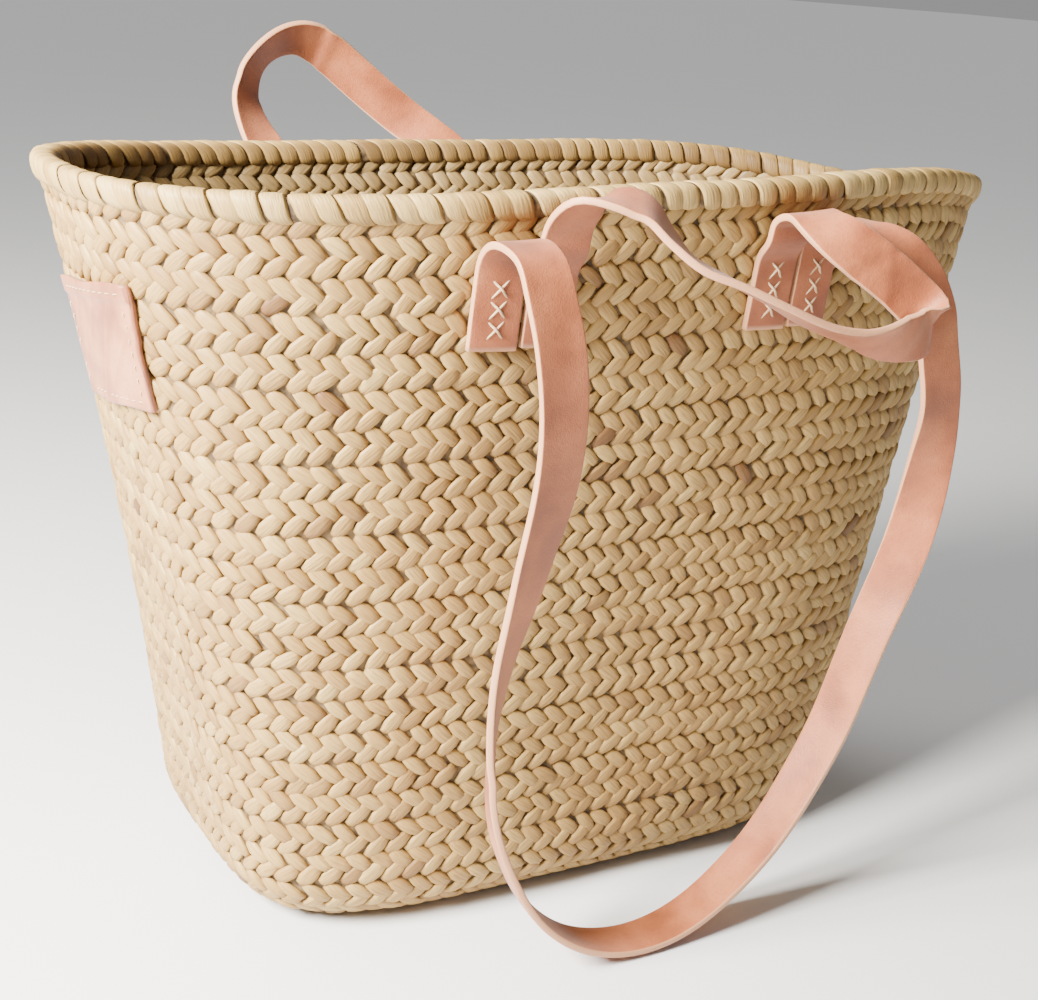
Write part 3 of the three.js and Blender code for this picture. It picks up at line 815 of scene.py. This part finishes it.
def tubes(paths, outward, radius, sides=8):
    """Round threads along many paths at once: a circle carried along each, with its ends drawn in."""
    along = unit(np.gradient(paths, axis=1))
    first = unit(np.cross(along, outward))
    second = np.cross(first, along)
    turn = 2 * math.pi * np.arange(sides) / sides
    taper = np.ones(paths.shape[1])
    taper[[0, -1]] = 0.35
    size = radius * taper[None, :, None, None]
    ring = np.cos(turn)[:, None] * first[:, :, None] + np.sin(turn)[:, None] * second[:, :, None]
    return paths[:, :, None] + size * ring


def thread_piece(name, paths, outward, radius, replaced):
    """A set of stitches as one piece."""
    points = tubes(paths, outward, radius)
    copies, steps, sides = points.shape[:3]
    faces = [f[:, ::-1] for f in stacked_rings(copies, steps, sides)]
    piece = new_piece(name, points.reshape(-1, 3), faces)
    u = np.broadcast_to(np.linspace(0, 3, steps)[None, :, None], (copies, steps, sides))
    v = np.broadcast_to(np.arange(sides)[None, None] * 0.4, (copies, steps, sides))
    lay_uv(piece, u, v)
    piece.data.materials.append(THREAD)
    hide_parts(replaced)
    return piece


LACING_TOP, LACING_BOTTOM, LACING_HALF_WIDTH, CROSSES = 31.5, 54.0, 3.7, 3


def lacing(name, x, side):
    """Crossed stitches up a tab. Each runs from a hole on one side to the next hole up on the other,
    in an arc over the leather, and every second one passes over the first."""
    share = np.linspace(0, 1, 13)
    rise = (LACING_BOTTOM - LACING_TOP) / CROSSES
    paths = []
    for step in range(CROSSES):
        low = HEIGHT - LACING_BOTTOM + step * rise
        for way in (-1, 1):
            across = way * LACING_HALF_WIDTH * (1 - 2 * share)
            lift = np.sin(math.pi * share) ** 0.5 * (0.75 + 0.9 * (way > 0) * np.sin(math.pi * share) ** 4)
            out = TAB_OUT + LEATHER / 2 - 0.9 + 1.35 * lift
            paths.append(side_point(x + across, side, low + rise * share, out))
    paths = np.array(paths)
    outward = np.broadcast_to(np.array([0.0, side, 0.0]), paths.shape)
    thread_piece(name + "_stitches", paths, outward, 0.52, name)


HANG_DIVIDE = 0.05
leather_strap("front_long", -1, True, FRONT_CENTRE_X, LONG_HALF_SPACING, FRONT_LONG,
              ((0.32, 0.5, 5, 0.2), (0.72, -0.4, 7, -0.3), (0.86, 0.4, 5, 0.4)), (0, -1, -HANG_DIVIDE))
leather_strap("back_long", 1, True, BACK_CENTRE_X, LONG_HALF_SPACING, BACK_LONG,
              ((0.3, 0.5, 5, 0.2), (0.7, -0.4, 7, -0.3)), (0, 1, -HANG_DIVIDE))
leather_strap("front_short", -1, False, FRONT_CENTRE_X, SHORT_HALF_SPACING, FRONT_SHORT,
              ((0.56, 0.5, 2.2, 0.8), (0.585, -0.5, 2.0, 0.7), (0.61, 0.6, 2.2, 0.6),
               (0.71, 0.5, 1.8, 0.6), (0.73, -0.6, 1.6, -0.5), (0.22, -0.4, 4, 0.2)), (0, -0.8, 0.6))
leather_strap("back_short", 1, False, BACK_CENTRE_X, SHORT_HALF_SPACING, BACK_SHORT,
              ((0.5, -0.8, 2.0, 0.3), (0.52, 0.6, 2.5, 0.3), (0.3, 0.5, 3, -0.4)), (0, 0.8, 0.6))

# ---- Patch ----

PATCH_Y = (-47.0, 17.0)
PATCH_HEIGHT = (219.0, 267.0)
PATCH_TILT = 0.14
PATCH_HEM = 7.0


def patch_point(y, height, out):
    """A point over the patch, which is sewn on with its front edge a little higher."""
    return end_point(y, height - PATCH_TILT * (y - sum(PATCH_Y) / 2), out)


def leather_patch():
    """A thin leather oblong bent round the end of the basket: a grid over its width and height,
    pushed in and out by slanted creases, with a raised hem along its top, closed by its back and
    edges."""
    columns, rows = 61, 41
    y = np.linspace(*PATCH_Y, columns)[:, None]
    h = np.linspace(*PATCH_HEIGHT, rows)[None]
    ragged = 0.5 * np.sin(h / 5.3) + 0.3 * np.sin(h / 2.1)
    y = y + ragged * np.abs(np.linspace(-1, 1, columns))[:, None] ** 4
    h = h + 0.5 * np.sin(y / 7.0) * np.abs(np.linspace(-1, 1, rows))[None] ** 4
    crumple = np.zeros_like(y + h)
    for phase, slope, size in ((-38, 0.9, 0.5), (-26, 0.7, 0.7), (-19, 0.7, -0.6), (-8, 0.8, 0.6),
                               (0, 0.6, -0.5), (9, 0.7, 0.6), (22, 0.9, -0.5)):
        crumple += size * np.exp(-(((y - phase) + (h - 242) * slope) / 1.5) ** 2)
    hem = np.clip((h - (PATCH_HEIGHT[1] - PATCH_HEM)) / 0.8, 0, 1)
    inside_edge = np.minimum(1, np.minimum(np.arange(columns), np.arange(columns)[::-1])[:, None] / 3)
    out = 0.6 + 1.7 + crumple * (1 - hem) * inside_edge + 0.8 * hem
    front = patch_point(y, h, out)
    back = patch_point(y, h, np.full_like(out, 0.5))
    middle = patch_point(y, h, 0.5 + (out - 0.5) * 0.5)
    push = 0.5 * unit(np.gradient(front, axis=0))
    sides = middle.copy()
    sides[0] -= push[0]
    sides[-1] += push[-1]
    rings = np.concatenate([front, sides[:, ::-1][:, :1], back[:, ::-1], sides[:, :1]], axis=1)
    faces = stacked_rings(1, columns, rings.shape[1])
    piece = new_piece("patch_leather", rings.reshape(-1, 3), faces)
    # The patch's edges take the darker edge colour: painted shade.
    cut = np.zeros(rings.shape[:2])
    cut[:, [rows, -1]] = 1
    cut[[0, -1]] = 0.8
    # The creases are darkened as painted shade, and the hem band along the top is darkened too.
    crease_shade_and_hem = np.concatenate([np.clip(np.abs(crumple) + 0.45 * hem, 0, 1), np.zeros((columns, rows + 2))], 1)
    paint(piece, "cut", cut)
    paint(piece, "crease_shade_and_hem", crease_shade_and_hem)
    lay_uv(piece, np.zeros(rings.shape[:2]), np.zeros(rings.shape[:2]))
    piece.data.materials.append(PINK)
    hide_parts("patch")


def patch_stitches():
    """Short stitches along the patch's edges, each an arc from hole to hole."""
    inset, pitch = 3.5, 5.0
    share = np.linspace(0, 1, 9)
    low, high = PATCH_HEIGHT[0] + inset, PATCH_HEIGHT[1] - inset
    paths = []
    lift = np.sin(math.pi * share) ** 0.5
    out = 0.6 + 1.7 - 0.5 + 0.75 * lift
    for h, extra in ((low, 0.0), (high, 0.8)):
        for y in np.arange(PATCH_Y[0] + inset, PATCH_Y[1] - inset - 3, pitch):
            paths.append(patch_point(y + 2.6 * share, np.full(9, h), out + extra))
    for y in (PATCH_Y[0] + inset, PATCH_Y[1] - inset):
        for h in np.arange(low + 2, high - 4, pitch):
            paths.append(patch_point(np.full(9, y), h + 2.6 * share, out))
    paths = np.array(paths)
    outward = np.broadcast_to(np.array([-1.0, -0.2, 0.0]), paths.shape)
    thread_piece("patch_stitches", paths, outward, 0.27, "patch_thread")


leather_patch()
patch_stitches()

# ---- Floor, light and camera ----


def pale_floor():
    """A wide pale floor under the basket."""
    size = 40000.0
    corners = np.array([[-size, -size, 0], [size, -size, 0], [size, size, 0], [-size, size, 0]])
    floor = new_piece("floor", corners, [np.array([[0, 1, 2, 3]])], body=None, smooth=False)
    material, tree, shader = new_material("pale_floor")
    place = node(tree, "ShaderNodeTexCoord").outputs["Object"]
    noise = node(tree, "ShaderNodeTexNoise", {"Vector": place, "Scale": 6.0})
    colour = mix(tree, noise.outputs[0], (0.66, 0.66, 0.66), (0.69, 0.685, 0.68))
    tree.links.new(colour, shader.inputs["Base Color"])
    shader.inputs["Roughness"].default_value = 0.8
    floor.data.materials.append(material)


def soft_light(name, position, target, size, power, colour):
    """A square area light at one point, in metres, turned to face another."""
    lamp = bpy.data.lights.new(name, "AREA")
    lamp.size = size
    lamp.energy = power
    lamp.color = colour
    holder = bpy.data.objects.new(name, lamp)
    bpy.context.scene.collection.objects.link(holder)
    holder.location = position
    holder.rotation_euler = (Vector(target) - Vector(position)).to_track_quat("-Z", "Y").to_euler()


def sun_light(name, source, strength, angle, colour):
    """Even light from a direction, as from a wide window far off."""
    lamp = bpy.data.lights.new(name, "SUN")
    lamp.energy = strength
    lamp.angle = angle
    lamp.color = colour
    holder = bpy.data.objects.new(name, lamp)
    bpy.context.scene.collection.objects.link(holder)
    holder.rotation_euler = Vector(source).to_track_quat("Z", "Y").to_euler()


def camera():
    """The camera stands in front and to the left, a little above the rim, rolled slightly."""
    target, distance, lens = Vector((0, 0, 0.155)), 0.7483, 56.0
    azimuth, elevation, roll = math.radians(-31.5), math.radians(18.31), math.radians(4.85)
    back = Vector((math.sin(azimuth) * math.cos(elevation), -math.cos(azimuth) * math.cos(elevation),
                   math.sin(elevation)))
    right = (-back).cross(Vector((0, 0, 1))).normalized()
    up = right.cross(-back)
    side = math.cos(roll) * right + math.sin(roll) * up
    top = -math.sin(roll) * right + math.cos(roll) * up
    data = bpy.data.cameras.new("camera")
    data.lens = lens
    data.sensor_width = 36
    data.clip_start, data.clip_end = 0.01, 200
    holder = bpy.data.objects.new("camera", data)
    bpy.context.scene.collection.objects.link(holder)
    holder.matrix_world = Matrix((side, top, back)).transposed().to_4x4()
    holder.location = target + back * distance
    bpy.context.scene.camera = holder


ROOM_LIGHT = 0.32
pale_floor()
soft_light("window", (-0.87, -0.19, 0.70), (0, -0.05, 0.17), 0.4, 105, (1.0, 0.98, 0.92))
sun_light("sky", (-0.3, 0.5, 0.8), 1.5, 0.6, (1.0, 1.0, 1.0))
world = bpy.data.worlds.new("studio")
world.use_nodes = True
world.node_tree.nodes["Background"].inputs["Color"].default_value = (1, 1, 1, 1)
world.node_tree.nodes["Background"].inputs["Strength"].default_value = ROOM_LIGHT
bpy.context.scene.world = world
camera()
